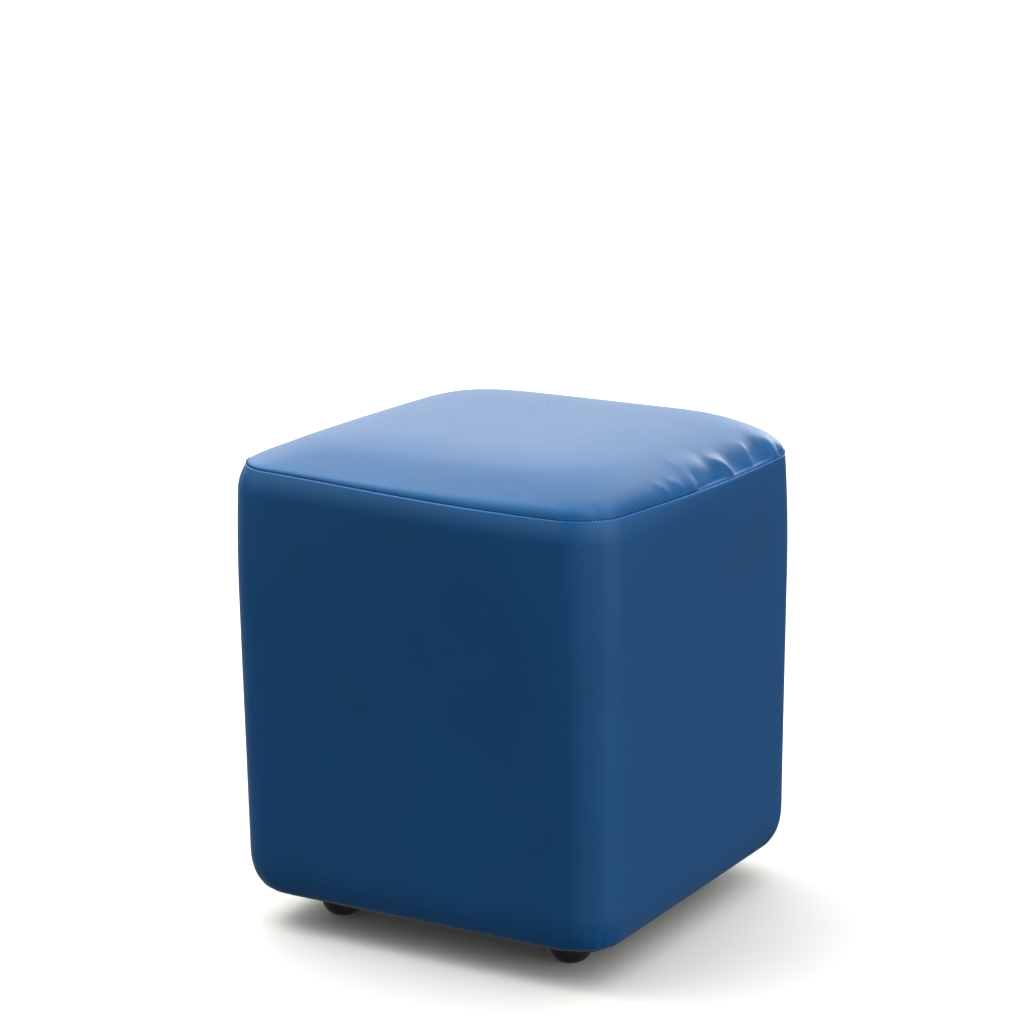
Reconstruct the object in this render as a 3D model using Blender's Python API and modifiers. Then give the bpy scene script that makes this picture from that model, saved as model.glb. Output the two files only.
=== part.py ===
"""Cube pouf stool: crowned top panel, one wrapped side band, thin base board and four round glides.

Units are metres and +Z is up. The origin is on the floor, under the middle of the stool.
The front face looks along -Y. Corners are named as seen from the front.
"""

import math
from collections import namedtuple

import bmesh
import bpy

# Heights, from the floor up
FOOT_HEIGHT = 0.0270
BOARD_THICKNESS = 0.0030
BAND_HEIGHT = 0.3764
GAP = 0.0003
BAND_BOTTOM = FOOT_HEIGHT + BOARD_THICKNESS + 2 * GAP
SEAM_HEIGHT = BAND_BOTTOM + BAND_HEIGHT

# The side band: its half width, the share of it that the corner radius takes, its hem tucked under,
# its shoulders drawn in towards the seam, and its sides bulging in the middle
HALF_WIDTH_LOW = 0.1856
HALF_WIDTH_HIGH = 0.1889
CORNER_SHARE = 0.217
HEM_TUCK = 0.0152
HEM_RISE = 0.0363
SHOULDER_DRAW = 0.0036
SHOULDER_START = 0.70
SEAM_TUCK_START = 0.945
SIDE_BULGE = 0.0090
SIDE_BULGE_START = 0.40
BULGE_POWER = 1.5
SEAM_REACH = HALF_WIDTH_HIGH - SHOULDER_DRAW + SIDE_BULGE

# The top panel, rounded at its edge and crowned with a broad level middle. Its top leans up a little
# from the dropped seam at the right, and towards the back.
EDGE_RISE = 0.0176
EDGE_RUN = 0.0460
CROWN_RISE = 0.0156
CROWN_POWER = 5.8
CROWN_FULLNESS = 3
LEAN_RIGHT = 0.0076
LEAN_BACK = 0.0025

# The base board and the glides under it
BOARD_INSET = 0.0210
BOARD_CORNER = 0.0260
FOOT_CENTRE = 0.1158
FOOT_RADIUS = 0.0205
FOOT_FLAT_RADIUS = 0.0095
FOOT_WALL = 0.0090

# How finely the outlines and the heights are stepped
STEPS_CORNER = 4
STEPS_SIDE = 24
HEM_STEPS = 5
BODY_STEPS = 9
SHOULDER_STEPS = 4
EDGE_STEPS = 6
CROWN_STEPS = 6
CORE_STEPS = 4
FOOT_ARC_STEPS = 7
FOOT_TURN_STEPS = 28
BOARD_CORNER_SEGMENTS = 8
SHARP_ANGLE = math.radians(40)
MERGE_DISTANCE = 0.00001

# The corners: how far the seam drops at each, and how far it is tucked in there under the panel
Corner = namedtuple("Corner", "name x y seam_drop seam_tuck")
CORNERS = (
    Corner("front_left", -1, -1, -0.0049, 0.0049),
    Corner("front_right", 1, -1, 0.0097, 0.0046),
    Corner("back_right", 1, 1, 0.0101, 0.0000),
    Corner("back_left", -1, 1, -0.0056, 0.0041),
)
SEAM_DROP_POWER = 3

# Puckers pressed into the top panel by its right edge: the middle of each, the way it runs,
# its half length and half width, and how deep it is (a negative depth stands proud)
Pucker = namedtuple("Pucker", "x y heading reach width depth")
PUCKERS = (
    Pucker(0.184, 0.032, 65, 0.018, 0.009, -0.0034),
    Pucker(0.185, 0.059, 85, 0.020, 0.011, 0.0044),
    Pucker(0.181, 0.085, 55, 0.014, 0.009, -0.0026),
    Pucker(0.183, 0.107, 100, 0.018, 0.010, 0.0042),
    Pucker(0.182, 0.130, 65, 0.012, 0.008, -0.0026),
    Pucker(0.180, 0.149, 115, 0.012, 0.008, 0.0034),
)

# Colours and finishes
LEATHERETTE_TOP = (0.105, 0.240, 0.400, 1.0)
LEATHERETTE_SIDE = (0.045, 0.125, 0.240, 1.0)
BOARD_BLACK = (0.012, 0.012, 0.013, 1.0)
GLIDE_BLACK = (0.010, 0.010, 0.011, 1.0)
LEATHERETTE_ROUGHNESS = 0.42
BOARD_ROUGHNESS = 0.80
GLIDE_ROUGHNESS = 0.45


def clear_scene():
    """Remove every object that the scene starts with."""
    for item in list(bpy.data.objects):
        bpy.data.objects.remove(item, do_unlink=True)


def smooth_step(value):
    """Ease from 0 to 1 as value goes from 0 to 1."""
    t = min(1.0, max(0.0, value))
    return t * t * (3 - 2 * t)


def quarter_round(value):
    """Rise of a quarter ellipse from 0 to 1, steep at the start and flat at the end."""
    t = min(1.0, max(0.0, value))
    return math.sqrt(1 - (1 - t) ** 2)


def even_turns(steps):
    """Shares of a run, from 0 to 1, that step round its quarter round in equal turns."""
    return [1 - math.cos(math.radians(90) * step / steps) for step in range(steps + 1)]


def outline_marks():
    """Points round the unit square, anticlockwise from the front left corner, closer at the corners."""
    angles = [math.radians(45) * step / STEPS_CORNER for step in range(STEPS_CORNER, 0, -1)]
    arc = [1 - CORNER_SHARE + CORNER_SHARE * math.tan(angle) for angle in angles]
    straight = [(1 - CORNER_SHARE) * (1 - 2 * step / STEPS_SIDE) for step in range(STEPS_SIDE + 1)]
    run = [-mark for mark in arc] + [-mark for mark in straight] + [mark for mark in reversed(arc)]
    marks = []
    for turn in range(4):
        angle = math.radians(90) * turn
        for along in run[:-1]:
            u = along * math.cos(angle) + math.sin(angle)
            v = along * math.sin(angle) - math.cos(angle)
            marks.append((u, v))
    return marks


MARKS = outline_marks()


def rounded_point(mark, half, corner_share, bulge):
    """The point of a rounded square that belongs to a mark, its sides bulging in the middle.

    The corner radius is a share of the half width, from 0 for a square to 1 for a circle.
    """
    radius = corner_share * half
    core = half - radius
    x = mark[0] * half
    y = mark[1] * half
    core_x = min(core, max(-core, x))
    core_y = min(core, max(-core, y))
    length = math.hypot(x - core_x, y - core_y)
    reach = radius + bulge * (1 - min(abs(mark[0]), abs(mark[1])) ** 2) ** BULGE_POWER
    return core_x + (x - core_x) / length * reach, core_y + (y - core_y) / length * reach


def corner_weight(corner, x, y):
    """How much a place takes after one corner, easing from corner to corner."""
    weight_x = smooth_step(0.5 + 0.5 * corner.x * x / SEAM_REACH)
    weight_y = smooth_step(0.5 + 0.5 * corner.y * y / SEAM_REACH)
    return weight_x * weight_y


def seam_drop(x, y):
    """How far the seam runs below its nominal height at a place."""
    return sum(corner.seam_drop * corner_weight(corner, x, y) for corner in CORNERS)


def seam_tuck(mark):
    """How far the seam is tucked in under the panel towards a mark."""
    x = mark[0] * SEAM_REACH
    y = mark[1] * SEAM_REACH
    return sum(corner.seam_tuck * corner_weight(corner, x, y) for corner in CORNERS)


def past(share, start):
    """0 up to a start, then rising to 1 at the seam."""
    return max(0.0, (share - start) / (1 - start))


def band_half_width(share):
    """Half width of the side band at a share of its height, without its bulge and its tucked seam."""
    half = HALF_WIDTH_LOW + (HALF_WIDTH_HIGH - HALF_WIDTH_LOW) * share
    half -= HEM_TUCK * (1 - quarter_round(share * BAND_HEIGHT / HEM_RISE))
    return half - SHOULDER_DRAW * past(share, SHOULDER_START) ** 2


def band_ring(share):
    """The ring of points round the side band at a share of its height."""
    bulge = SIDE_BULGE * past(share, SIDE_BULGE_START) ** BULGE_POWER
    ring = []
    for mark in MARKS:
        half = band_half_width(share) - seam_tuck(mark) * past(share, SEAM_TUCK_START) ** 2
        x, y = rounded_point(mark, half, CORNER_SHARE, bulge)
        z = BAND_BOTTOM + BAND_HEIGHT * share - seam_drop(x, y) * share ** SEAM_DROP_POWER
        ring.append((x, y, z))
    return ring


def core_ring(scale, lift):
    """A ring level with the seam, from the seam itself at scale 1 to a round one near the middle."""
    corner_share = CORNER_SHARE + (1 - CORNER_SHARE) * (1 - scale)
    ring = []
    for mark in MARKS:
        half = (band_half_width(1.0) - seam_tuck(mark)) * scale
        x, y = rounded_point(mark, half, corner_share, SIDE_BULGE * scale)
        ring.append((x, y, SEAM_HEIGHT + lift - seam_drop(x, y)))
    return ring


def pucker_depth(x, y):
    """How far the puckers press the top panel down at a place."""
    depth = 0.0
    for pucker in PUCKERS:
        heading = math.radians(pucker.heading)
        across = (x - pucker.x) * math.sin(heading) - (y - pucker.y) * math.cos(heading)
        along = (x - pucker.x) * math.cos(heading) + (y - pucker.y) * math.sin(heading)
        depth += pucker.depth * math.exp(-(along / pucker.reach) ** 2 - (across / pucker.width) ** 2)
    return depth


def crown(x, y):
    """Height of the top panel's crowned face above the seam, without its rounded edge."""
    u = x / SEAM_REACH
    v = y / SEAM_REACH
    level = (1 - abs(u) ** CROWN_POWER) * (1 - abs(v) ** CROWN_POWER)
    lean = LEAN_RIGHT * u + LEAN_BACK * v
    return EDGE_RISE + CROWN_RISE * level ** CROWN_FULLNESS + lean - pucker_depth(x, y)


def panel_ring(scale):
    """The ring of points on the top panel's upper face, from the seam at scale 1 to the middle."""
    run = (1 - scale) * band_half_width(1.0)
    rounding = quarter_round(run / EDGE_RUN)
    return [(x, y, z + crown(x, y) * rounding) for x, y, z in core_ring(scale, GAP)]


def loft(name, rings, low_point, high_point):
    """A closed body through rings of points, closed by a fan to a point at each end."""
    mesh = bmesh.new()
    levels = [[mesh.verts.new(point) for point in ring] for ring in rings]
    count = len(MARKS)
    for lower, upper in zip(levels, levels[1:]):
        for index in range(count):
            after = (index + 1) % count
            mesh.faces.new((lower[index], lower[after], upper[after], upper[index]))
    for ring, point, upward in ((levels[0], low_point, False), (levels[-1], high_point, True)):
        tip = mesh.verts.new(point)
        for index in range(count):
            pair = (ring[index], ring[(index + 1) % count])
            mesh.faces.new((*(pair if upward else reversed(pair)), tip))
    data = bpy.data.meshes.new(name)
    mesh.to_mesh(data)
    mesh.free()
    return bpy.data.objects.new(name, data)


def make_material(name, colour, roughness):
    """A plain material with the part's colour and roughness."""
    material = bpy.data.materials.new(name)
    material.use_nodes = True
    shader = material.node_tree.nodes["Principled BSDF"]
    shader.inputs["Base Color"].default_value = colour
    shader.inputs["Roughness"].default_value = roughness
    shader.inputs["Metallic"].default_value = 0.0
    material.diffuse_color = colour
    return material


def finish(item, collection, material):
    """Put an object in the stool's collection with its material and smooth shading."""
    collection.objects.link(item)
    item.data.materials.append(material)
    item.data.shade_smooth()
    item.data.set_sharp_from_angle(angle=SHARP_ANGLE)


def make_side_band():
    """The band round the four sides, padded, with its hem turned under and its top face under the panel."""
    hem_top = HEM_RISE / BAND_HEIGHT
    body_rise = (SEAM_TUCK_START - hem_top) / BODY_STEPS
    shoulder_rise = (1 - SEAM_TUCK_START) / SHOULDER_STEPS
    shares = [share * hem_top for share in even_turns(HEM_STEPS)]
    shares += [hem_top + body_rise * step for step in range(1, BODY_STEPS + 1)]
    shares += [SEAM_TUCK_START + shoulder_rise * step for step in range(1, SHOULDER_STEPS + 1)]
    rings = [band_ring(share) for share in shares]
    rings += [core_ring(1 - step / CORE_STEPS, 0.0) for step in range(1, CORE_STEPS)]
    return loft("side_band", rings, (0, 0, BAND_BOTTOM), (0, 0, SEAM_HEIGHT - seam_drop(0, 0)))


def make_top_panel():
    """The crowned top of the cover with its padding, from the face it shares with the band up."""
    edge_share = EDGE_RUN / band_half_width(1.0)
    scales = [1 - edge_share * share for share in even_turns(EDGE_STEPS)[1:]]
    scales += [(1 - edge_share) * (1 - step / CROWN_STEPS) for step in range(1, CROWN_STEPS)]
    rings = [core_ring(step / CORE_STEPS, GAP) for step in range(1, CORE_STEPS + 1)]
    rings += [panel_ring(scale) for scale in scales]
    base = SEAM_HEIGHT + GAP - seam_drop(0, 0)
    return loft("top_panel", rings, (0, 0, base), (0, 0, base + crown(0, 0)))


def make_base_board():
    """The thin flat board under the cover, with round corners."""
    half = HALF_WIDTH_LOW - BOARD_INSET
    mesh = bmesh.new()
    bmesh.ops.create_cube(mesh, size=1.0)
    bmesh.ops.scale(mesh, vec=(2 * half, 2 * half, BOARD_THICKNESS), verts=mesh.verts)
    upright = [edge for edge in mesh.edges if edge.verts[0].co.z * edge.verts[1].co.z < 0]
    bmesh.ops.bevel(
        mesh, geom=upright, offset=BOARD_CORNER, offset_type="OFFSET",
        segments=BOARD_CORNER_SEGMENTS, profile=0.5, affect="EDGES",
    )
    data = bpy.data.meshes.new("base_board")
    mesh.to_mesh(data)
    mesh.free()
    board = bpy.data.objects.new("base_board", data)
    board.location.z = FOOT_HEIGHT + GAP + BOARD_THICKNESS / 2
    return board


def foot_profile():
    """Half outline of a glide, from its top middle round to the middle of its flat bottom."""
    wall_end = FOOT_HEIGHT - FOOT_WALL
    points = [(0.0, FOOT_HEIGHT), (FOOT_RADIUS, FOOT_HEIGHT)]
    for step in range(FOOT_ARC_STEPS + 1):
        angle = math.radians(90) * step / FOOT_ARC_STEPS
        radius = FOOT_FLAT_RADIUS + (FOOT_RADIUS - FOOT_FLAT_RADIUS) * math.cos(angle)
        points.append((radius, wall_end * (1 - math.sin(angle))))
    points.append((0.0, 0.0))
    return points


def make_foot(corner):
    """A round glide turned about its own axis, under one corner."""
    name = f"foot_{corner.name}"
    mesh = bmesh.new()
    points = [mesh.verts.new((radius, 0, height)) for radius, height in foot_profile()]
    for upper, lower in zip(points, points[1:]):
        mesh.edges.new((upper, lower))
    data = bpy.data.meshes.new(name)
    mesh.to_mesh(data)
    mesh.free()
    foot = bpy.data.objects.new(name, data)
    foot.location = (corner.x * FOOT_CENTRE, corner.y * FOOT_CENTRE, 0)
    turning = foot.modifiers.new("turning", "SCREW")
    turning.steps = FOOT_TURN_STEPS
    turning.render_steps = FOOT_TURN_STEPS
    turning.use_merge_vertices = True
    turning.merge_threshold = MERGE_DISTANCE
    return foot


def main():
    """Build the stool's pieces, each with its own material."""
    clear_scene()
    stool = bpy.data.collections.new("cube_pouf_stool")
    bpy.context.scene.collection.children.link(stool)
    side = make_material("side_leatherette", LEATHERETTE_SIDE, LEATHERETTE_ROUGHNESS)
    top = make_material("top_leatherette", LEATHERETTE_TOP, LEATHERETTE_ROUGHNESS)
    board = make_material("black_board", BOARD_BLACK, BOARD_ROUGHNESS)
    glide = make_material("black_glide", GLIDE_BLACK, GLIDE_ROUGHNESS)
    finish(make_side_band(), stool, side)
    finish(make_top_panel(), stool, top)
    finish(make_base_board(), stool, board)
    for corner in CORNERS:
        finish(make_foot(corner), stool, glide)


main()
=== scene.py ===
"""Cube pouf stool: its leatherette covers, their seams and stitches, the lined board and the glides.

Units are metres and +Z is up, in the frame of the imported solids. The front face looks along -Y.
"""

import math
from collections import namedtuple

import bmesh
import bpy
import numpy as np
from mathutils import Matrix, Vector


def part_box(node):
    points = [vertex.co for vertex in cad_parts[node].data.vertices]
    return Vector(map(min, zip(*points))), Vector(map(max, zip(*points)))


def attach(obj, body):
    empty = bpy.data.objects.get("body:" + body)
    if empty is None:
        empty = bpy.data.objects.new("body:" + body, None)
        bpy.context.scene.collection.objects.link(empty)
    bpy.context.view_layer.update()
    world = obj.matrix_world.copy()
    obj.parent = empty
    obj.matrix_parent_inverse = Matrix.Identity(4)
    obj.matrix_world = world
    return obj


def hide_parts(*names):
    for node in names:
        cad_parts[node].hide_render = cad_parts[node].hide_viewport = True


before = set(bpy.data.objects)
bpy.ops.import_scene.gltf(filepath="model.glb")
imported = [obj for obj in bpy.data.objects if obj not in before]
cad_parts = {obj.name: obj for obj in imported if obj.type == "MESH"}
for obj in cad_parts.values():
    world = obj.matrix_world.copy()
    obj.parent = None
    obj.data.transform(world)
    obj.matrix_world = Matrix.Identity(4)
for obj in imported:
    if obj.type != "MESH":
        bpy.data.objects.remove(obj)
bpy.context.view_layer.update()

# What is taken from the solids: where the side band starts, and the feet that the glides stand for
BAND_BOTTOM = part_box("side_band")[0].z
FOOT_NODES = ("foot_front_left", "foot_front_right", "foot_back_left", "foot_back_right")

# The side band's shape, as its solid has it: its half widths without the bulge, its tucked hem, and the
# shares of its height from which the shoulder draws in, the seam is tucked in and the sides bulge
BAND_HEIGHT = 0.3764
SEAM_HEIGHT = BAND_BOTTOM + BAND_HEIGHT
HALF_WIDTH_LOW = 0.1856
HALF_WIDTH_HIGH = 0.1889
CORNER_SHARE = 0.217
HEM_TUCK = 0.0152
HEM_RISE = 0.0363
SHOULDER_DRAW = 0.0036
SHOULDER_START = 0.70
SEAM_TUCK_START = 0.945
SIDE_BULGE = 0.0090
SIDE_BULGE_START = 0.40
BULGE_POWER = 1.5
SEAM_REACH = HALF_WIDTH_HIGH - SHOULDER_DRAW + SIDE_BULGE
SEAM_DROP_POWER = 3

# The top panel's shape, as its solid has it: its rounded edge, its crown, and how much more it stands
# above the seam at the right and at the back
EDGE_RISE = 0.0176
EDGE_RUN = 0.0460
CROWN_RISE = 0.0156
CROWN_POWER = 5.8
CROWN_FULLNESS = 3
LEAN_RIGHT = 0.0076
LEAN_BACK = 0.0025

# The corners: how far the seam drops at each, and how far it is tucked in there under the panel
Corner = namedtuple("Corner", "x y seam_drop seam_tuck")
CORNERS = (
    Corner(-1, -1, -0.0049, 0.0049),
    Corner(1, -1, 0.0097, 0.0046),
    Corner(1, 1, 0.0101, 0.0000),
    Corner(-1, 1, -0.0056, 0.0041),
)

# Puckers in the top panel by its right edge, as its solid has them: the middle of each, the way it
# runs in degrees, its half length and half width, and how deep it is (a negative depth stands proud)
Pucker = namedtuple("Pucker", "x y heading reach width depth")
PUCKERS = (
    Pucker(0.184, 0.032, 65, 0.018, 0.009, -0.0034),
    Pucker(0.185, 0.059, 85, 0.020, 0.011, 0.0044),
    Pucker(0.181, 0.085, 55, 0.014, 0.009, -0.0026),
    Pucker(0.183, 0.107, 100, 0.018, 0.010, 0.0042),
    Pucker(0.182, 0.130, 65, 0.012, 0.008, -0.0026),
    Pucker(0.180, 0.149, 115, 0.012, 0.008, 0.0034),
)

# Sharper folds on and beside those puckers, and a nick at the front right corner: both ends of each,
# its half width, and how far it stands proud (a negative height is pressed in)
Fold = namedtuple("Fold", "name x0 y0 x1 y1 width height")
FOLDS = (
    Fold("first_ridge", 0.180, 0.021, 0.192, 0.046, 0.0038, 0.0018),
    Fold("before_first", 0.188, -0.020, 0.193, 0.022, 0.0065, -0.0022),
    Fold("before_first_shoulder", 0.172, -0.030, 0.175, 0.000, 0.0090, 0.0009),
    Fold("after_first", 0.188, 0.050, 0.191, 0.074, 0.0065, -0.0026),
    Fold("after_first_shoulder", 0.174, 0.050, 0.176, 0.068, 0.0060, 0.0005),
    Fold("second_ridge", 0.178, 0.088, 0.184, 0.087, 0.0040, 0.0010),
    Fold("after_second", 0.187, 0.096, 0.188, 0.124, 0.0060, -0.0026),
    Fold("after_second_shoulder", 0.173, 0.098, 0.173, 0.120, 0.0065, 0.0009),
    Fold("third_ridge", 0.183, 0.130, 0.187, 0.130, 0.0034, 0.0010),
    Fold("last_nick", 0.184, 0.143, 0.188, 0.149, 0.0036, -0.0022),
    Fold("left_crease", 0.181, -0.060, 0.186, -0.050, 0.0030, 0.0007),
    Fold("far_crease", 0.180, -0.080, 0.185, -0.072, 0.0030, 0.0007),
    Fold("corner_nick", 0.169, -0.162, 0.174, -0.167, 0.0030, -0.0010),
    Fold("gathered_hollow", 0.184, 0.015, 0.182, 0.100, 0.0180, -0.0026),
)

# The seam between panel and band: the bead that each one's edge rolls round, how far in the panel's
# edge lies and over what run, how far the rolled edges reach in, and how far below the seam the side
# cover is closed, under the top cover
BAND_BEAD = 0.0017
PANEL_BEAD = 0.0005
PANEL_INSET = 0.0008
PANEL_INSET_RUN = 0.0120
BEAD_STEPS = 7
BEAD_TURN = math.radians(140)
SEAM_DEPTH = 0.0050
LID_DEPTH = 0.0040

# Stitches across the seams: their spacing, each one's length and half thickness, how thin and how blunt
# its ends are, and its mesh steps
STITCH_PITCH = 0.0030
STITCH_LENGTH = 0.0019
STITCH_RADIUS = 0.00048
STITCH_END = 0.40
STITCH_BLUNTNESS = 4
STITCH_SIDES = 6
STITCH_RINGS = 5

# Where a stitch of the top seam sits: how far in from the seam and above it, and how far it leans in
STITCH_INSET = 0.0006
STITCH_RISE = 0.0010
STITCH_SLANT = 0.12

# The closing seam up the middle of the back: the extra points to each side of it, in shares of the half
# width, and how deep and wide its groove and the swell along it are
CLOSING_MARKS = (0.004, 0.008, 0.013, 0.020)
CLOSING_GROOVE = 0.0011
CLOSING_GROOVE_WIDTH = 0.0011
CLOSING_SWELL = 0.0004
CLOSING_SWELL_WIDTH = 0.0045

# The side cover's unevenness: slow waves (in radians for each metre, with a phase), pleats gathered
# under the corners, and a few soft dents (a negative depth stands proud)
WAVE_DEPTH = 0.00018
Wave = namedtuple("Wave", "x y z phase")
WAVES = (
    Wave(21, -17, 22, 2.47),
    Wave(21, 17, -4, 0.13),
    Wave(33, -27, 19, 0.00),
)
PLEAT_DEPTH = 0.0007
PLEAT_RISE = 0.042
PLEAT_SPREAD = 1.5
PLEATS_IN_TURN = 23
Dent = namedtuple("Dent", "name x y z radius depth")
DENTS = (
    Dent("front_left_low", -0.114, -0.185, 0.054, 0.024, 0.0012),
    Dent("right_low", 0.186, 0.0045, 0.081, 0.020, 0.0009),
    Dent("corner_notch", 0.152, -0.175, 0.035, 0.007, 0.0016),
    Dent("corner_fold", 0.163, -0.168, 0.040, 0.006, -0.0006),
)

# Where the leatherette is painted paler, for wear and for painted highlights on the hem's fold, the seam's
# beads and the top panel's edge: how much, from 0 to 1, and where it starts and ends, in shares of the
# half width. By the seam it has a run in metres
HEM_WEAR_AND_HIGHLIGHT = 0.15
HEM_CORNER_WEAR_AND_HIGHLIGHT = 0.20
CORNER_RUB = 0.10
CORNER_START = 0.70
CORNER_END = 0.90
SEAM_WEAR_AND_HIGHLIGHT = 1.00
SEAM_WEAR_AND_HIGHLIGHT_RUN = 0.0035
PANEL_EDGE_WEAR_AND_HIGHLIGHT = 0.45
PANEL_EDGE_START = 0.93
PANEL_OUTWARD_PALENESS = 0.10
PANEL_OUTWARD_START = 0.60

# How finely the covers are stepped
STEPS_CORNER = 11
STEPS_SIDE = 98
HEM_STEPS = 14
BODY_STEPS = 44
SHOULDER_STEPS = 12
PANEL_RINGS = 52
EDGE_RINGS = 14

# The top cover as cloth: the places with spare cloth gathered by the seam, how firmly the padding holds
# the rest, the cloth's own settings, and how far a point may move at most
Gather = namedtuple("Gather", "x y radius")
GATHERS = (
    Gather(0.190, 0.030, 0.036),
    Gather(0.186, 0.085, 0.036),
    Gather(0.180, 0.140, 0.030),
)
PADDING_HOLD = 0.35
CLOTH_SPARE = 0.05
CLOTH_QUALITY = 6
CLOTH_MASS = 0.4
CLOTH_STIFFNESS = 40.0
CLOTH_SHEAR = 12.0
CLOTH_BENDING = 0.4
CLOTH_PRESSURE = 4.0
CLOTH_FRAMES = 20
CLOTH_CAP = 0.005

# The glides: a turned shape with a rounded rim, a fine moulding line and a bottom that is dished inside
# a ring, whose two radii are shares of the flat one
GLIDE_HEIGHT = 0.0270
GLIDE_RADIUS = 0.0205
GLIDE_FLAT_RADIUS = 0.0095
GLIDE_WALL = 0.0090
GLIDE_RIM = 0.0016
GLIDE_LINE = 0.0003
GLIDE_LINE_SHAPE = ((0, 3), (1, 2), (1, 1), (0, 0))
GLIDE_DISH = 0.0008
GLIDE_RING_SHARE = 0.6
GLIDE_DISH_SHARE = 0.5
GLIDE_SHARP_ANGLE = math.radians(35)
GLIDE_ARC_STEPS = 18
GLIDE_RIM_STEPS = 5
GLIDE_TURN_STEPS = 72

# The camera, in the photograph's frame
PHOTO_WIDTH = 1024
SENSOR_WIDTH = 36.0
FOCAL_PIXELS = 2742.8
CAMERA_PLACE = Vector((1.2074, -2.0279, 0.8717))
CAMERA_AZIMUTH = math.radians(30.894)
CAMERA_PITCH = math.radians(12.347)
CAMERA_ROLL = math.radians(-0.665)

# Soft light by direction: where each glow is, how tight it is, and how strong. Those of the floor stand
# for the light that the pale floor throws back
Glow = namedtuple("Glow", "name x y z tightness strength")
GLOWS = (
    Glow("right_low", 1.00, 0.00, 0.10, 14, 1.82),
    Glow("right_back_low", 0.86, 0.50, 0.10, 14, 0.37),
    Glow("right_front_low", 0.86, -0.50, 0.10, 14, 0.05),
    Glow("front_low", 0.50, -0.86, 0.10, 14, 0.95),
    Glow("back_left_low", -0.50, 0.86, 0.12, 14, 0.95),
    Glow("back_rim", -0.10, 0.96, 0.20, 60, 6.00),
    Glow("back", 0.00, 0.85, 0.53, 12, 0.90),
    Glow("right_back", 0.60, 0.60, 0.53, 12, 0.11),
    Glow("right", 0.85, 0.00, 0.53, 12, 1.77),
    Glow("front_left", -0.60, -0.60, 0.53, 12, 2.08),
    Glow("back_left", -0.60, 0.60, 0.53, 12, 2.55),
    Glow("back_high", 0.00, 0.50, 0.87, 10, 2.76),
    Glow("right_high", 0.50, 0.00, 0.87, 10, 1.83),
    Glow("left_high", -0.50, 0.00, 0.87, 10, 2.30),
    Glow("left_glint", -0.50, -0.10, 0.86, 40, 7.50),
    Glow("floor_right_back", 0.62, 0.62, -0.47, 6, 0.21),
    Glow("floor_right_front", 0.62, -0.62, -0.47, 6, 0.32),
    Glow("floor_front_left", -0.62, -0.62, -0.47, 6, 0.17),
    Glow("floor_back_left", -0.62, 0.62, -0.47, 6, 0.46),
)
LIGHT_TINT = (1.00, 1.00, 0.96)
FLOOR_RADIUS = 60.0
FLOOR_SIDES = 128

# Finishes: the plain colour and roughness, and how strongly and how deep the grain is raised
Finish = namedtuple("Finish", "name colour roughness bump_strength bump_depth", defaults=(0.0, 0.0))
LEATHERETTE = Finish("leatherette", (0.0050, 0.0740, 0.2300), 0.42, 0.22, 0.00022)
THREAD = Finish("thread", (0.0150, 0.0950, 0.2400), 0.60, 0.50, 0.00010)
LINING = Finish("lining", (0.0120, 0.0120, 0.0130), 0.85, 0.50, 0.00030)
GLIDE_PLASTIC = Finish("glide_plastic", (0.0100, 0.0100, 0.0110), 0.42, 0.40, 0.00020)
FLOOR_WHITE = Finish("floor_white", (0.80, 0.80, 0.80), 0.90)

# The leatherette's sheen, the shades of its specks and of its places painted paler for wear and painted
# highlight, how much rougher its clouds make it and how much smoother those places are, and how much its
# mottling adds to its grain
LEATHERETTE_IOR = 1.5
SHEEN_BLUE = (0.55, 0.80, 1.00)
SPECK_SHADE = 0.72
WORN_AND_HIGHLIGHT_SHADE = 2.40
CLOUD_ROUGHNESS = 0.06
RUB_POLISH = 0.12
MOTTLE_GRAIN = 0.8

# How much of its weave's paleness the lining has between its threads
LINING_GAP_SHADE = 0.4

# The sockets in which a Mix node has its two colours and their mixture
MIX_FIRST = 6
MIX_SECOND = 7
MIX_RESULT = 2

# The least length to divide by
LEAST_LENGTH = 1e-9


def smooth_step(value):
    """Ease from 0 to 1 as value goes from 0 to 1."""
    t = np.clip(value, 0.0, 1.0)
    return t * t * (3 - 2 * t)


def quarter_round(value):
    """Rise of a quarter ellipse from 0 to 1, steep at the start and flat at the end."""
    t = np.clip(value, 0.0, 1.0)
    return np.sqrt(1 - (1 - t) ** 2)


def even_turns(steps):
    """Shares of a run, from 0 to 1, that step round its quarter round in equal turns."""
    return 1 - np.cos(np.linspace(0, math.pi / 2, steps + 1))


def outline_marks():
    """Points round the unit square, anticlockwise from the front left corner, even along the outline.

    A few more stand close together in the middle of the back, for the closing seam.
    """
    angles = np.linspace(math.pi / 4, 0, STEPS_CORNER + 1)[:-1]
    arc = 1 - CORNER_SHARE + CORNER_SHARE * np.tan(angles)
    straight = (1 - CORNER_SHARE) * np.linspace(1, -1, STEPS_SIDE + 1)
    plain = np.concatenate([-arc, -straight, arc[::-1]])[:-1]
    closing = np.sort(np.concatenate([plain, CLOSING_MARKS, np.negative(CLOSING_MARKS)]))
    sides = []
    for turn, run in enumerate((plain, plain, closing, plain)):
        angle = math.pi / 2 * turn
        across = run * math.cos(angle) + math.sin(angle)
        along = run * math.sin(angle) - math.cos(angle)
        sides.append(np.stack([across, along], axis=1))
    return np.concatenate(sides)


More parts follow.
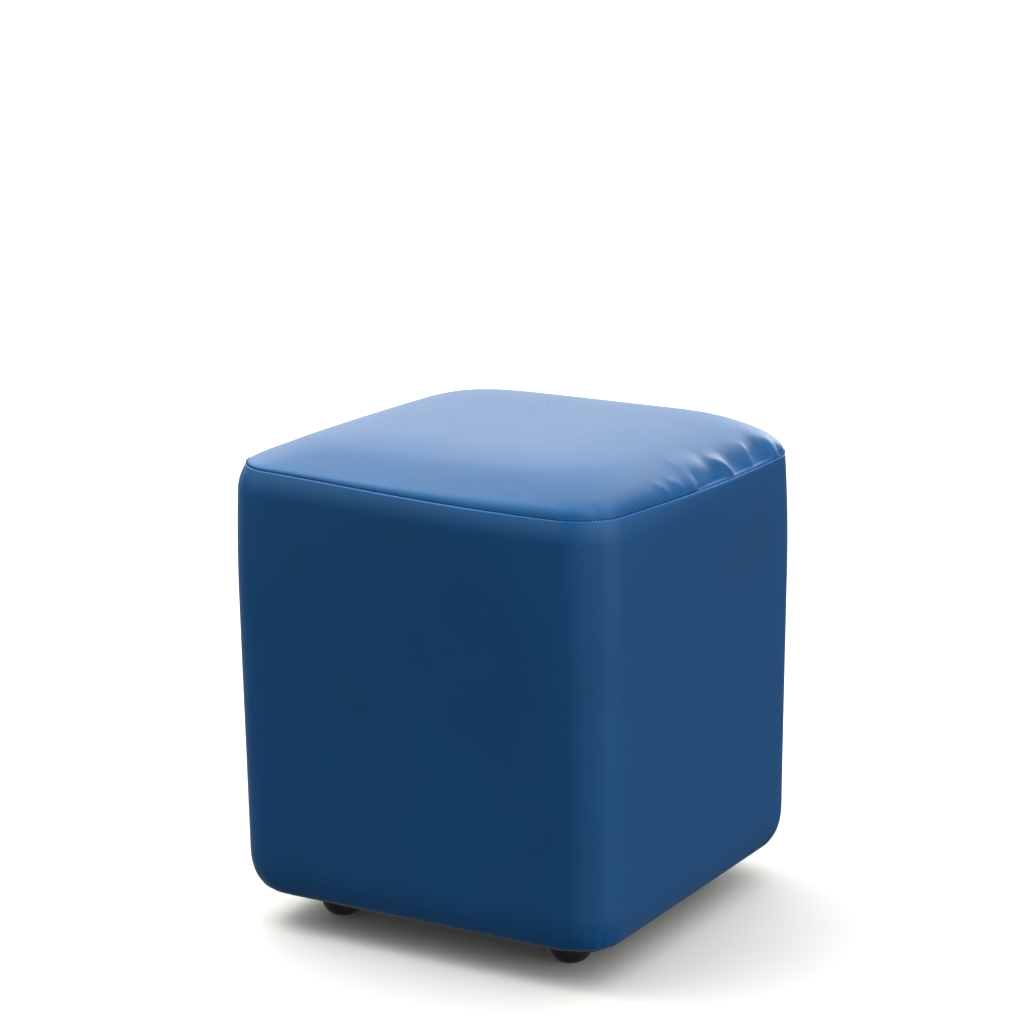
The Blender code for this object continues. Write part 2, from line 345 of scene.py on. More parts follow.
def rounded_points(marks, half, corner_share, bulge):
    """Points of a rounded square for an array of marks, and the way out from it at each.

    The corner radius is a share of the half width, and the sides bulge in the middle.
    """
    half = np.asarray(half, dtype=float).reshape(-1, 1)
    radius = corner_share * half
    core = half - radius
    place = marks * half
    inner = np.clip(place, -core, core)
    away = place - inner
    length = np.linalg.norm(away, axis=1, keepdims=True)
    outward = away / np.maximum(length, LEAST_LENGTH)
    swell = (1 - np.abs(marks).min(axis=1, keepdims=True) ** 2) ** BULGE_POWER
    return inner + outward * (radius + bulge * swell), outward


def corner_blend(values, x, y):
    """A value at places, easing from corner to corner."""
    total = np.zeros_like(x)
    for corner, value in zip(CORNERS, values):
        weight_x = smooth_step(0.5 + 0.5 * corner.x * x / SEAM_REACH)
        weight_y = smooth_step(0.5 + 0.5 * corner.y * y / SEAM_REACH)
        total += value * weight_x * weight_y
    return total


def seam_drop(x, y):
    """How far the seam runs below its nominal height at places."""
    return corner_blend([corner.seam_drop for corner in CORNERS], x, y)


def seam_tuck(marks):
    """How far the seam is tucked in under the panel towards marks."""
    tucks = [corner.seam_tuck for corner in CORNERS]
    return corner_blend(tucks, marks[:, 0] * SEAM_REACH, marks[:, 1] * SEAM_REACH)


def past(share, start):
    """0 up to a start, then rising to 1 at the seam."""
    return max(0.0, (share - start) / (1 - start))


def band_half_width(share):
    """Half width of the side band at a share of its height, without its bulge and its tucked seam."""
    half = HALF_WIDTH_LOW + (HALF_WIDTH_HIGH - HALF_WIDTH_LOW) * share
    half -= HEM_TUCK * (1 - quarter_round(share * BAND_HEIGHT / HEM_RISE))
    return half - SHOULDER_DRAW * past(share, SHOULDER_START) ** 2


def band_ring(marks, share):
    """The ring of points round the side band at a share of its height, and the way out at each."""
    half = band_half_width(share) - seam_tuck(marks) * past(share, SEAM_TUCK_START) ** 2
    bulge = SIDE_BULGE * past(share, SIDE_BULGE_START) ** BULGE_POWER
    flat, outward = rounded_points(marks, half, CORNER_SHARE, bulge)
    height = BAND_BOTTOM + BAND_HEIGHT * share
    height = height - seam_drop(flat[:, 0], flat[:, 1]) * share ** SEAM_DROP_POWER
    return np.column_stack([flat, height]), outward


def seam_ring(marks, scale):
    """Points level with the seam, from the seam itself at scale 1 to the middle at scale 0."""
    scale = np.asarray(scale, dtype=float) * np.ones(len(marks))
    shares = (CORNER_SHARE + (1 - CORNER_SHARE) * (1 - scale)).reshape(-1, 1)
    half = (band_half_width(1.0) - seam_tuck(marks)) * scale
    flat, outward = rounded_points(marks, half, shares, SIDE_BULGE * scale.reshape(-1, 1))
    height = SEAM_HEIGHT - seam_drop(flat[:, 0], flat[:, 1])
    return np.column_stack([flat, height]), outward


def pucker_depth(x, y):
    """How far the puckers press the top panel down at places."""
    depth = np.zeros_like(x)
    for pucker in PUCKERS:
        heading = math.radians(pucker.heading)
        across = (x - pucker.x) * math.sin(heading) - (y - pucker.y) * math.cos(heading)
        along = (x - pucker.x) * math.cos(heading) + (y - pucker.y) * math.sin(heading)
        depth += pucker.depth * np.exp(-(along / pucker.reach) ** 2 - (across / pucker.width) ** 2)
    return depth


def crown(x, y):
    """Height of the top panel's crowned face above the seam, without its rounded edge."""
    u = x / SEAM_REACH
    v = y / SEAM_REACH
    level = (1 - np.abs(u) ** CROWN_POWER) * (1 - np.abs(v) ** CROWN_POWER)
    lean = LEAN_RIGHT * u + LEAN_BACK * v
    return EDGE_RISE + CROWN_RISE * level ** CROWN_FULLNESS + lean - pucker_depth(x, y)


def panel_points(marks, scale):
    """Points on the top panel's upper face, from the seam at scale 1 to the middle at scale 0."""
    points, outward = seam_ring(marks, scale)
    run = (1 - scale) * band_half_width(1.0)
    points[:, 2] += PANEL_BEAD + crown(points[:, 0], points[:, 1]) * quarter_round(run / EDGE_RUN)
    inset = PANEL_INSET * (1 - smooth_step(run / PANEL_INSET_RUN))
    points[:, :2] -= outward * inset.reshape(-1, 1)
    return points


def fold_height(x, y):
    """How far the sharper folds stand proud of the top cover at places."""
    total = np.zeros_like(x)
    for fold in FOLDS:
        run_x = fold.x1 - fold.x0
        run_y = fold.y1 - fold.y0
        length = math.hypot(run_x, run_y)
        along = ((x - fold.x0) * run_x + (y - fold.y0) * run_y) / length
        across = ((x - fold.x0) * run_y - (y - fold.y0) * run_x) / length
        beyond = np.maximum(0.0, np.maximum(-along, along - length))
        total += fold.height * np.exp(-(np.hypot(across, beyond) / fold.width) ** 2)
    return total


def side_relief(points, outward):
    """How far the side cover stands out from its plain shape: waves, pleats, dents, closing seam."""
    x, y, z = points.T
    rise = z - BAND_BOTTOM
    waves = sum(np.sin(wave.x * x + wave.y * y + wave.z * z + wave.phase) for wave in WAVES)
    relief = WAVE_DEPTH * waves * smooth_step(rise / HEM_RISE)
    angle = np.arctan2(outward[:, 1], outward[:, 0])
    corner = np.abs(np.sin(2 * angle)) ** PLEAT_SPREAD
    pleats = np.sin(PLEATS_IN_TURN * angle) * corner
    relief += PLEAT_DEPTH * pleats * (1 - smooth_step(rise / PLEAT_RISE))
    for dent in DENTS:
        away = np.sqrt((x - dent.x) ** 2 + (y - dent.y) ** 2 + (z - dent.z) ** 2)
        relief -= dent.depth * np.exp(-(away / dent.radius) ** 2)
    back = y > 0
    groove = CLOSING_GROOVE * np.exp(-(x / CLOSING_GROOVE_WIDTH) ** 2)
    swell = CLOSING_SWELL * np.exp(-(x / CLOSING_SWELL_WIDTH) ** 2)
    return relief + np.where(back, swell - groove, 0.0)


def new_object(name, points, faces, wear_and_highlight=None):
    """A smooth mesh object in the scene from points and faces, with how much paler it is painted at each
    point, for wear and painted highlight.
    """
    mesh = bpy.data.meshes.new(name)
    mesh.from_pydata([tuple(point) for point in points], [], [tuple(face) for face in faces])
    if wear_and_highlight is not None:
        layer = mesh.attributes.new("wear_and_highlight", "FLOAT", "POINT")
        layer.data.foreach_set("value", np.asarray(wear_and_highlight, dtype=float))
    mesh.validate()
    mesh.shade_smooth()
    item = bpy.data.objects.new(name, mesh)
    bpy.context.scene.collection.objects.link(item)
    return item


def loft_faces(rings, count):
    """Quads between rings that follow each other in one array of points."""
    faces = []
    for ring in range(rings - 1):
        base = ring * count
        for index in range(count):
            after = (index + 1) % count
            faces.append((base + index, base + after, base + count + after, base + count + index))
    return faces


def fan_faces(start, count, tip, upward):
    """Triangles from a ring to one point, facing up or down."""
    faces = []
    for index in range(count):
        pair = (start + index, start + (index + 1) % count)
        faces.append((*(pair if upward else pair[::-1]), tip))
    return faces


def bead_rings(points, outward, radius, turn):
    """Rings round a bead of a radius that rolls a cover's edge in by an angle, up if it is positive."""
    centre = points.copy()
    centre[:, :2] -= outward * radius
    rings = []
    for angle in np.linspace(0, turn, BEAD_STEPS)[1:]:
        ring = centre.copy()
        ring[:, :2] += outward * radius * math.cos(angle)
        ring[:, 2] += radius * math.sin(angle)
        rings.append(ring)
    inner = rings[-1].copy()
    inner[:, :2] -= outward * SEAM_DEPTH
    rings.append(inner)
    return rings


def make_side_cover():
    """The band round the four sides, with its hem turned under and its top edge rolled in to the seam."""
    marks = outline_marks()
    hem_top = HEM_RISE / BAND_HEIGHT
    bead_share = 1 - BAND_BEAD / BAND_HEIGHT
    shares = list(even_turns(HEM_STEPS) * hem_top)
    shares += list(np.linspace(hem_top, SEAM_TUCK_START, BODY_STEPS + 1)[1:])
    shares += list(np.linspace(SEAM_TUCK_START, bead_share, SHOULDER_STEPS + 1)[1:])
    rings = []
    for share in shares:
        ring, outward = band_ring(marks, share)
        ring[:, :2] += outward * side_relief(ring, outward).reshape(-1, 1)
        rings.append(ring)
    rings += bead_rings(rings[-1], outward, BAND_BEAD, BEAD_TURN)
    count = len(marks)
    last = (len(rings) - 1) * count
    low = (0.0, 0.0, BAND_BOTTOM)
    high = (0.0, 0.0, SEAM_HEIGHT - LID_DEPTH)
    points = np.concatenate(rings + [[low, high]])
    faces = loft_faces(len(rings), count)
    faces += fan_faces(0, count, last + count, False)
    faces += fan_faces(last, count, last + count + 1, True)
    return new_object("side_cover", points, faces, side_wear_and_highlight(points))


def side_wear_and_highlight(points):
    """How much paler the side cover is painted at points: for wear at its corners, and for wear and a
    painted highlight along its hem's fold and by the seam's bead.
    """
    x, y, z = points.T
    toward_corner = np.minimum(np.abs(x), np.abs(y)) / HALF_WIDTH_LOW
    corner = smooth_step((toward_corner - CORNER_START) / (CORNER_END - CORNER_START))
    hem = 1 - smooth_step((z - BAND_BOTTOM) / HEM_RISE)
    seam = smooth_step((z - SEAM_HEIGHT + seam_drop(x, y)) / SEAM_WEAR_AND_HIGHLIGHT_RUN + 1)
    total = CORNER_RUB * corner + (HEM_WEAR_AND_HIGHLIGHT + HEM_CORNER_WEAR_AND_HIGHLIGHT * corner) * hem + SEAM_WEAR_AND_HIGHLIGHT * seam
    return np.clip(total, 0, 1)


def panel_wear_and_highlight(scale):
    """How much paler the top cover is painted at the scales of its rings: a little outwards, most at its
    edge, where it is wear and a painted highlight along the seam.
    """
    edge = PANEL_EDGE_WEAR_AND_HIGHLIGHT * smooth_step((scale - PANEL_EDGE_START) / (1 - PANEL_EDGE_START))
    return edge + PANEL_OUTWARD_PALENESS * smooth_step((scale - PANEL_OUTWARD_START) / (1 - PANEL_OUTWARD_START))


def even_mark(share):
    """Places along one side of the outline, from corner to corner, for even steps of its length."""
    arc = CORNER_SHARE * math.pi / 4
    straight = 1 - CORNER_SHARE
    length = np.abs(share) * (straight + arc)
    turned = np.clip((length - straight) / CORNER_SHARE, 0, math.pi / 4)
    return np.sign(share) * np.where(length < straight, length, straight + CORNER_SHARE * np.tan(turned))


def panel_scales():
    """Scales of the top panel's rings from the middle out, closer where it turns down to the seam."""
    edge_share = EDGE_RUN / band_half_width(1.0)
    rim = 1 - edge_share * even_turns(EDGE_RINGS)
    middle = np.linspace(0, 1 - edge_share, PANEL_RINGS - EDGE_RINGS + 1)
    return np.concatenate([middle, rim[::-1][1:]])


def panel_grid():
    """Marks and scales of the points of the top panel's square grid, and its rim's points in order."""
    steps = np.arange(-PANEL_RINGS, PANEL_RINGS + 1)
    column, row = (axis.ravel() for axis in np.meshgrid(steps, steps))
    ring = np.maximum(np.abs(column), np.abs(row))
    safe = np.maximum(ring, 1)
    marks = np.stack([even_mark(column / safe), even_mark(row / safe)], axis=1)
    # The middle point lies in no direction, so it takes any mark
    marks[ring == 0] = (1.0, 0.0)
    last = 2 * PANEL_RINGS
    size = last + 1
    rim = list(range(last))
    rim += [index * size + last for index in range(last)]
    rim += [last * size + last - index for index in range(last)]
    rim += [(last - index) * size for index in range(last)]
    return marks, panel_scales()[ring], rim


def gathered(points):
    """How much spare cloth lies at points of the top cover, from 0 to 1."""
    weight = np.zeros(len(points))
    for gather in GATHERS:
        away = np.hypot(points[:, 0] - gather.x, points[:, 1] - gather.y)
        weight += np.exp(-(away / gather.radius) ** 2)
    return np.clip(weight, 0, 1)


def settle(item, fixed, spare):
    """Let a cover settle as cloth over its padding, and return how far its points move."""
    scene = bpy.context.scene
    start = np.empty(len(item.data.vertices) * 3)
    item.data.vertices.foreach_get("co", start)
    hold = PADDING_HOLD * (1 - spare)
    hold[fixed] = 1.0
    groups = {}
    for name, weights in (("hold", hold), ("spare", spare)):
        groups[name] = item.vertex_groups.new(name=name)
        for index, weight in enumerate(weights):
            groups[name].add([index], float(weight), "REPLACE")
    cloth = item.modifiers.new("cloth", "CLOTH")
    settings = cloth.settings
    settings.quality = CLOTH_QUALITY
    settings.mass = CLOTH_MASS
    settings.tension_stiffness = CLOTH_STIFFNESS
    settings.compression_stiffness = CLOTH_STIFFNESS
    settings.shear_stiffness = CLOTH_SHEAR
    settings.bending_stiffness = CLOTH_BENDING
    settings.use_pressure = True
    settings.uniform_pressure_force = CLOTH_PRESSURE
    settings.vertex_group_mass = "hold"
    settings.vertex_group_shrink = "spare"
    settings.shrink_min = 0.0
    settings.shrink_max = -CLOTH_SPARE
    settings.effector_weights.gravity = 0.0
    cloth.point_cache.frame_start = 1
    cloth.point_cache.frame_end = CLOTH_FRAMES
    for step in range(1, CLOTH_FRAMES + 1):
        scene.frame_set(step)
    places = np.empty_like(start)
    settled = item.evaluated_get(bpy.context.evaluated_depsgraph_get())
    settled.to_mesh().vertices.foreach_get("co", places)
    item.modifiers.remove(cloth)
    item.vertex_groups.clear()
    scene.frame_set(1)
    return (places - start).reshape(-1, 3)


def panel_faces(rim, start, rings):
    """Quads of the top panel's square grid, then those that roll its edge in, from rim to last ring."""
    size = 2 * PANEL_RINGS + 1
    faces = []
    for row in range(size - 1):
        for column in range(size - 1):
            corner = row * size + column
            faces.append((corner, corner + 1, corner + size + 1, corner + size))
    count = len(rim)
    for index in range(count):
        after = (index + 1) % count
        faces.append((start + index, start + after, rim[after], rim[index]))
    for face in loft_faces(rings, count):
        faces.append(tuple(start + index for index in face[::-1]))
    return faces


def make_top_cover():
    """The crowned top of the cover, settled as cloth, with its edge rolled in to the seam."""
    marks, scale, rim = panel_grid()
    points = panel_points(marks, scale)
    _, outward = seam_ring(marks[rim], 1.0)
    rings = bead_rings(points[rim], outward, PANEL_BEAD, -BEAD_TURN)
    start = len(points)
    places = np.concatenate([points] + rings)
    rolled = np.ones(len(places) - start)
    wear_and_highlight = panel_wear_and_highlight(np.concatenate([scale, rolled]))
    item = new_object("top_cover", places, panel_faces(rim, start, len(rings)), wear_and_highlight)
    fixed = rim + list(range(start, len(places)))
    move = settle(item, fixed, gathered(places))
    far = np.linalg.norm(move, axis=1, keepdims=True)
    places += move * np.minimum(1.0, CLOTH_CAP / np.maximum(far, LEAST_LENGTH))
    item.data.vertices.foreach_set("co", places.ravel())
    normals = np.empty(len(places) * 3)
    item.data.vertex_normals.foreach_get("vector", normals)
    raised = fold_height(places[:, 0], places[:, 1])
    raised[start:] = 0.0
    places += normals.reshape(-1, 3) * raised.reshape(-1, 1)
    item.data.vertices.foreach_set("co", places.ravel())
    item.data.update()
    refine_and_close(item)
    return item


def refine_and_close(item):
    """Subdivide a cover once, and close it underneath, where its edge is rolled in."""
    finer = item.modifiers.new("finer", "SUBSURF")
    finer.levels = 1
    mesh = bpy.data.meshes.new_from_object(item.evaluated_get(bpy.context.evaluated_depsgraph_get()))
    item.modifiers.remove(finer)
    item.data = mesh
    shape = bmesh.new()
    shape.from_mesh(mesh)
    bmesh.ops.holes_fill(shape, edges=[edge for edge in shape.edges if edge.is_boundary])
    shape.to_mesh(mesh)
    shape.free()


def capsule_points(middle, way, side):
    """Points of one stitch: rings round its length, drawn in at its ends."""
    other = np.cross(way, side)
    points = []
    for step in range(STITCH_RINGS):
        along = (step / (STITCH_RINGS - 1) - 0.5) * STITCH_LENGTH
        taper = math.sqrt(1 - (2 * along / STITCH_LENGTH) ** STITCH_BLUNTNESS)
        thick = STITCH_RADIUS * max(STITCH_END, taper)
        for turn in range(STITCH_SIDES):
            angle = 2 * math.pi * turn / STITCH_SIDES
            round_it = side * math.cos(angle) + other * math.sin(angle)
            points.append(middle + way * along + thick * round_it)
    return points


def stitch_mesh(name, middles, ways, sides):
    """Many stitches as one joined mesh."""
    points = []
    faces = []
    for middle, way, side in zip(middles, ways, sides):
        base = len(points)
        points += capsule_points(middle, way, side)
        for face in loft_faces(STITCH_RINGS, STITCH_SIDES):
            faces.append(tuple(base + index for index in face))
        faces.append(tuple(base + index for index in reversed(range(STITCH_SIDES))))
        end = base + (STITCH_RINGS - 1) * STITCH_SIDES
        faces.append(tuple(end + index for index in range(STITCH_SIDES)))
    return new_object(name, points, faces)


def make_seam_stitches():
    """The stitches in the seam between the top panel and the side band."""
    marks = outline_marks()
    seam, outward = seam_ring(marks, 1.0)
    closed = np.concatenate([seam, seam[:1]])
    steps = np.linalg.norm(np.diff(closed, axis=0), axis=1)
    run = np.concatenate([[0], np.cumsum(steps)])
    number = round(run[-1] / STITCH_PITCH)
    places = (np.arange(number) + 0.5) * run[-1] / number
    around = np.concatenate([outward, outward[:1]])
    middles = np.stack([np.interp(places, run, closed[:, axis]) for axis in range(3)], axis=1)
    out = np.stack([np.interp(places, run, around[:, axis]) for axis in range(2)], axis=1)
    out = np.column_stack([out / np.linalg.norm(out, axis=1, keepdims=True), np.zeros(number)])
    up = np.array([0.0, 0.0, 1.0])
    along = np.cross(up, out)
    ways = up - STITCH_SLANT * out
    ways /= np.linalg.norm(ways, axis=1, keepdims=True)
    middles = middles - out * STITCH_INSET + up * STITCH_RISE
    return stitch_mesh("seam_stitches", middles, ways, along)


def make_closing_stitches():
    """The stitches across the closing seam in the middle of the back."""
    marks = np.array([[0.0, 1.0]])
    number = int((BAND_HEIGHT - HEM_RISE) / STITCH_PITCH)
    middles = []
    for step in range(number):
        share = (HEM_RISE + (step + 0.5) * STITCH_PITCH) / BAND_HEIGHT
        point, outward = band_ring(marks, share)
        relief = side_relief(point, outward)[0]
        middles.append(point[0] + np.array([0.0, relief + STITCH_RADIUS / 2, 0.0]))
    ways = np.tile([1.0, 0.0, 0.0], (number, 1))
    sides = np.tile([0.0, 1.0, 0.0], (number, 1))
    return stitch_mesh("closing_stitches", middles, ways, sides)


def glide_profile():
    """Half outline of a glide, from its top middle round to the middle of its dished bottom."""
    points = [(0.0, GLIDE_HEIGHT)]
    for step in range(GLIDE_RIM_STEPS + 1):
        angle = math.pi / 2 * (1 - step / GLIDE_RIM_STEPS)
        radius = GLIDE_RADIUS - GLIDE_RIM * (1 - math.cos(angle))
        points.append((radius, GLIDE_HEIGHT - GLIDE_RIM * (1 - math.sin(angle))))
    wall_end = GLIDE_HEIGHT - GLIDE_WALL
    for inward, upward in GLIDE_LINE_SHAPE:
        points.append((GLIDE_RADIUS - inward * GLIDE_LINE, wall_end + upward * GLIDE_LINE))
    for step in range(1, GLIDE_ARC_STEPS + 1):
        angle = math.pi / 2 * step / GLIDE_ARC_STEPS
        radius = GLIDE_FLAT_RADIUS + (GLIDE_RADIUS - GLIDE_FLAT_RADIUS) * math.cos(angle)
        points.append((radius, wall_end * (1 - math.sin(angle))))
    points.append((GLIDE_RING_SHARE * GLIDE_FLAT_RADIUS, 0.0))
    points.append((GLIDE_DISH_SHARE * GLIDE_FLAT_RADIUS, GLIDE_DISH))
    points.append((0.0, GLIDE_DISH))
    return points


def make_glide(node):
    """A finely turned glide where its plain solid stands."""
    low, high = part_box(node)
    x, y, _ = (low + high) / 2
    profile = glide_profile()
    rings = []
    for radius, height in profile[1:-1]:
        ring = []
        for turn in range(GLIDE_TURN_STEPS):
            angle = 2 * math.pi * turn / GLIDE_TURN_STEPS
            ring.append((x + radius * math.cos(angle), y + radius * math.sin(angle), height))
        rings.append(ring)
    count = GLIDE_TURN_STEPS
    last = (len(rings) - 1) * count
    tips = [(x, y, profile[0][1]), (x, y, profile[-1][1])]
    points = np.concatenate(rings + [tips])
    faces = [face[::-1] for face in loft_faces(len(rings), count)]
    faces += fan_faces(0, count, last + count, True)
    faces += fan_faces(last, count, last + count + 1, False)
    item = new_object(node.replace("foot", "glide"), points, faces)
    item.data.set_sharp_from_angle(angle=GLIDE_SHARP_ANGLE)
    return item


def new_material(finish):
    """A material with its Principled shader's colour and roughness set, its tree and its shader."""
    material = bpy.data.materials.new(finish.name)
    material.use_nodes = True
    shader = material.node_tree.nodes["Principled BSDF"]
    shader.inputs["Base Color"].default_value = (*finish.colour, 1.0)
    shader.inputs["Roughness"].default_value = finish.roughness
    return material, material.node_tree, shader


def add_node(tree, kind, settings=None, **inputs):
    """A shader node with its settings and inputs: an input is a socket to link or a plain value."""
    node = tree.nodes.new(f"ShaderNode{kind}")
    for name, value in (settings or {}).items():
        setattr(node, name, value)
    for name, value in inputs.items():
        socket = node.inputs[name.replace("_", " ")]
        if isinstance(value, bpy.types.NodeSocket):
            tree.links.new(value, socket)
        else:
            socket.default_value = value
    return node


def math_node(tree, operation, first, second):
    """A Math node, each of whose two inputs is a socket or a number."""
    node = tree.nodes.new("ShaderNodeMath")
    node.operation = operation
    for socket, value in zip(node.inputs, (first, second)):
        if isinstance(value, (int, float)):
            socket.default_value = value
        else:
            tree.links.new(value, socket)
    return node.outputs[0]


def map_range(tree, value, low, high):
    """Spread a texture's 0 to 1 from one number to another."""
    node = add_node(tree, "MapRange", Value=value, To_Min=low, To_Max=high)
    return node.outputs[0]


def mix_colours(tree, factor, first, second):
    """Mix two colours by a factor, each a socket or a plain colour."""
    node = tree.nodes.new("ShaderNodeMix")
    node.data_type = "RGBA"
    tree.links.new(factor, node.inputs["Factor"])
    for socket, value in ((node.inputs[MIX_FIRST], first), (node.inputs[MIX_SECOND], second)):
        if isinstance(value, bpy.types.NodeSocket):
            tree.links.new(value, socket)
        else:
            socket.default_value = (*value, 1.0)
    return node.outputs[MIX_RESULT]


def add_bump(tree, shader, height, finish):
    """Raise a shader's surface by a height socket, as strongly and as deep as its finish says."""
    bump = add_node(tree, "Bump", Height=height, Strength=finish.bump_strength, Distance=finish.bump_depth)
    tree.links.new(bump.outputs[0], shader.inputs["Normal"])


def scaled(colour, factor):
    """A colour made lighter or darker by a factor."""
    return tuple(channel * factor for channel in colour)


def shade_colour(tree, factor, finish, low, high):
    """A finish's colour, from a darker to a lighter shade of it, by a factor socket."""
    return mix_colours(tree, factor, scaled(finish.colour, low), scaled(finish.colour, high))


def make_leatherette():
    """Satin blue leatherette: fine pebbled grain, faint mottling, and painted paler where it is worn and
    where highlights are painted on its hem, seam and panel edge.
    """
    material, tree, shader = new_material(LEATHERETTE)
    shader.inputs["IOR"].default_value = LEATHERETTE_IOR
    shader.inputs["Specular Tint"].default_value = (*SHEEN_BLUE, 1.0)
    place = tree.nodes.new("ShaderNodeTexCoord").outputs["Object"]
    cloud = add_node(tree, "TexNoise", Vector=place, Scale=14.0, Detail=2.0).outputs["Fac"]
    mottle = add_node(tree, "TexNoise", Vector=place, Scale=420.0, Detail=1.0).outputs["Fac"]
    pebble = add_node(tree, "TexVoronoi", {"feature": "F1"}, Vector=place, Scale=800.0).outputs["Distance"]
    wear_and_highlight = add_node(tree, "Attribute", {"attribute_name": "wear_and_highlight"}).outputs["Fac"]
    worn_and_highlit = math_node(tree, "MULTIPLY", wear_and_highlight, cloud)
    colour = shade_colour(tree, cloud, LEATHERETTE, low=0.88, high=1.12)
    specks = map_range(tree, mottle, low=0.0, high=0.35)
    colour = mix_colours(tree, specks, colour, scaled(LEATHERETTE.colour, SPECK_SHADE))
    # Painted paler where the covers are worn, and painted highlights on the hem's fold, the seam's beads
    # and the panel's edge
    colour = mix_colours(tree, worn_and_highlit, colour, scaled(LEATHERETTE.colour, WORN_AND_HIGHLIGHT_SHADE))
    tree.links.new(colour, shader.inputs["Base Color"])
    matt = math_node(tree, "MULTIPLY", cloud, CLOUD_ROUGHNESS)
    polish = math_node(tree, "MULTIPLY", worn_and_highlit, RUB_POLISH)
    rough = math_node(tree, "ADD", map_range(tree, mottle, low=0.36, high=0.48), matt)
    rough = math_node(tree, "SUBTRACT", rough, polish)
    tree.links.new(rough, shader.inputs["Roughness"])
    grain = math_node(tree, "SUBTRACT", math_node(tree, "MULTIPLY", mottle, MOTTLE_GRAIN), pebble)
    add_bump(tree, shader, grain, LEATHERETTE)
    return material


def make_thread():
    """Blue sewing thread, twisted."""
    material, tree, shader = new_material(THREAD)
    place = tree.nodes.new("ShaderNodeTexCoord").outputs["Object"]
    twist = add_node(tree, "TexNoise", Vector=place, Scale=2600.0, Detail=1.0).outputs["Fac"]
    colour = shade_colour(tree, twist, THREAD, low=0.7, high=1.4)
    tree.links.new(colour, shader.inputs["Base Color"])
    add_bump(tree, shader, twist, THREAD)
    return material


def make_lining():
    """Matt black lining cloth, with a plain weave."""
    material, tree, shader = new_material(LINING)
    place = tree.nodes.new("ShaderNodeTexCoord").outputs["Object"]
    warp = add_node(tree, "TexWave", {"bands_direction": "X"}, Vector=place, Scale=260.0).outputs["Fac"]
    weft = add_node(tree, "TexWave", {"bands_direction": "Y"}, Vector=place, Scale=260.0).outputs["Fac"]
    weave = math_node(tree, "MULTIPLY", warp, weft)
    cloud = add_node(tree, "TexNoise", Vector=place, Scale=40.0, Detail=3.0).outputs["Fac"]
    shade = math_node(tree, "MULTIPLY", math_node(tree, "ADD", weave, LINING_GAP_SHADE), cloud)
    colour = shade_colour(tree, shade, LINING, low=0.5, high=2.4)
    tree.links.new(colour, shader.inputs["Base Color"])
    add_bump(tree, shader, weave, LINING)
    return material


def make_glide_plastic():
    """Satin black moulded plastic with a fine spark-eroded texture."""
    material, tree, shader = new_material(GLIDE_PLASTIC)
    place = tree.nodes.new("ShaderNodeTexCoord").outputs["Object"]
    speckle = add_node(tree, "TexNoise", Vector=place, Scale=900.0, Detail=2.0).outputs["Fac"]
    dust = add_node(tree, "TexNoise", Vector=place, Scale=120.0, Detail=4.0).outputs["Fac"]
    colour = shade_colour(tree, dust, GLIDE_PLASTIC, low=0.5, high=1.9)
    tree.links.new(colour, shader.inputs["Base Color"])
    tree.links.new(map_range(tree, speckle, low=0.30, high=0.58), shader.inputs["Roughness"])
    add_bump(tree, shader, speckle, GLIDE_PLASTIC)
    return material


def make_floor():
    """A plain pale floor under the stool, which throws no light on it: the floor's glows do that."""
    bpy.ops.mesh.primitive_circle_add(vertices=FLOOR_SIDES, radius=FLOOR_RADIUS, fill_type="NGON")
    floor = bpy.context.object
    floor.name = "floor"
    material, _, shader = new_material(FLOOR_WHITE)
    shader.inputs["Specular IOR Level"].default_value = 0.0
    floor.data.materials.append(material)
    floor.visible_diffuse = False
    floor.visible_glossy = False


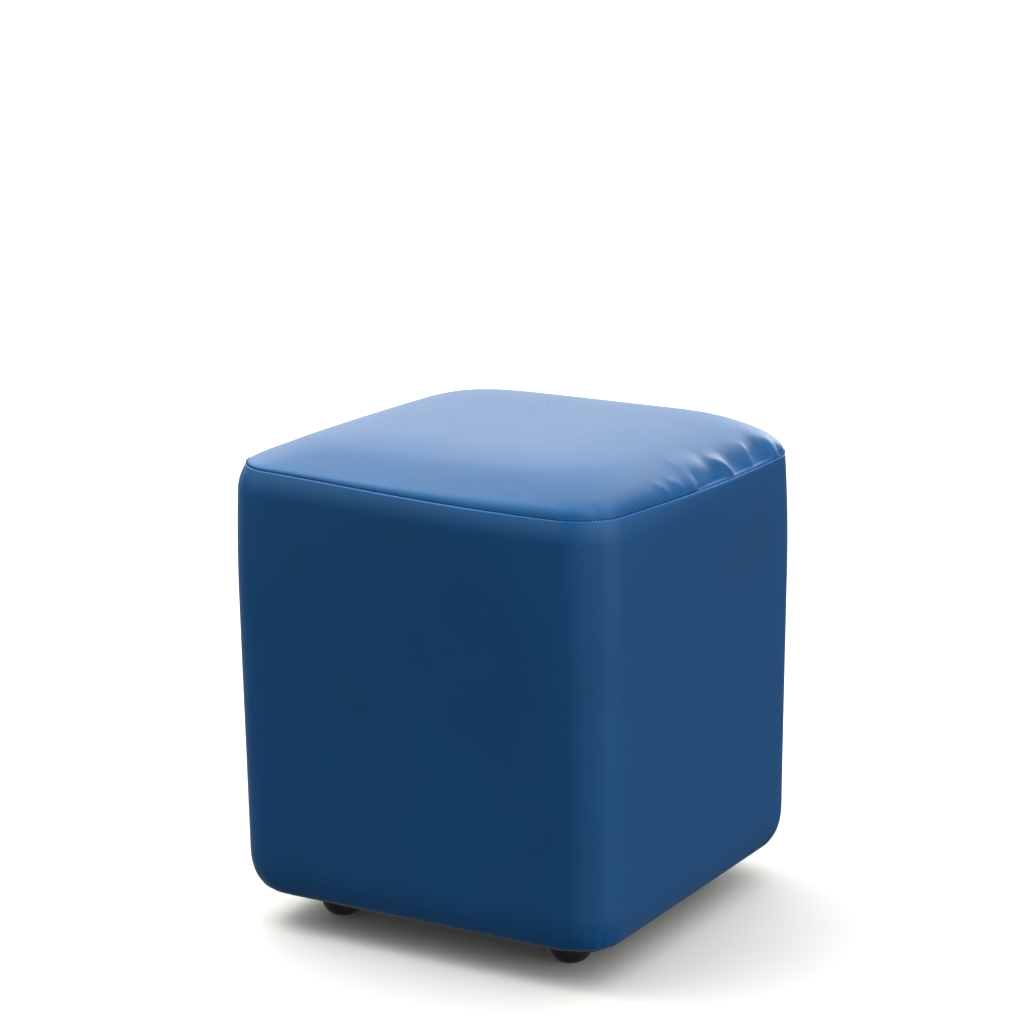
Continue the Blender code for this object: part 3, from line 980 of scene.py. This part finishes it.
def make_camera():
    """The camera at the photograph's viewing angle."""
    data = bpy.data.cameras.new("camera")
    data.sensor_width = SENSOR_WIDTH
    data.lens = FOCAL_PIXELS / PHOTO_WIDTH * SENSOR_WIDTH
    data.clip_end = 2 * FLOOR_RADIUS
    camera = bpy.data.objects.new("camera", data)
    bpy.context.scene.collection.objects.link(camera)
    turn = Matrix.Rotation(CAMERA_AZIMUTH, 4, "Z")
    tilt = Matrix.Rotation(math.pi / 2 - CAMERA_PITCH, 4, "X")
    roll = Matrix.Rotation(CAMERA_ROLL, 4, "Z")
    camera.matrix_world = Matrix.Translation(CAMERA_PLACE) @ turn @ tilt @ roll
    bpy.context.scene.camera = camera


def make_light():
    """Soft studio light: broad glows from several directions, and two tighter ones."""
    world = bpy.data.worlds.new("studio")
    world.use_nodes = True
    tree = world.node_tree
    background = tree.nodes["Background"]
    background.inputs["Color"].default_value = (*LIGHT_TINT, 1.0)
    direction = tree.nodes.new("ShaderNodeTexCoord").outputs["Generated"]
    total = 0.0
    for glow in GLOWS:
        dot = tree.nodes.new("ShaderNodeVectorMath")
        dot.operation = "DOT_PRODUCT"
        dot.inputs[1].default_value = Vector((glow.x, glow.y, glow.z)).normalized()
        tree.links.new(direction, dot.inputs[0])
        facing = math_node(tree, "MAXIMUM", dot.outputs["Value"], 0.0)
        lobe = math_node(tree, "POWER", facing, glow.tightness)
        total = math_node(tree, "ADD", total, math_node(tree, "MULTIPLY", lobe, glow.strength))
    tree.links.new(total, background.inputs["Strength"])
    bpy.context.scene.world = world


def finish_piece(item, material):
    """Give a piece its material, and let it ride on the stool."""
    item.data.materials.append(material)
    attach(item, "root")


def main():
    """Dress the stool's solids, and set the floor, the light and the camera."""
    leatherette = make_leatherette()
    covers = (
        (make_side_cover(), "side_band", "side_leatherette"),
        (make_top_cover(), "top_panel", "top_leatherette"),
    )
    for cover, node, slot in covers:
        finish_piece(cover, leatherette)
        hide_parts(node)
    thread = make_thread()
    finish_piece(make_seam_stitches(), thread)
    finish_piece(make_closing_stitches(), thread)
    plastic = make_glide_plastic()
    for node in FOOT_NODES:
        glide = make_glide(node)
        finish_piece(glide, plastic)
        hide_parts(node)
    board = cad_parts["base_board"]
    board.data.materials.clear()
    board.data.materials.append(make_lining())
    make_floor()
    make_light()
    make_camera()
    bpy.context.scene.view_settings.view_transform = "Standard"


main()
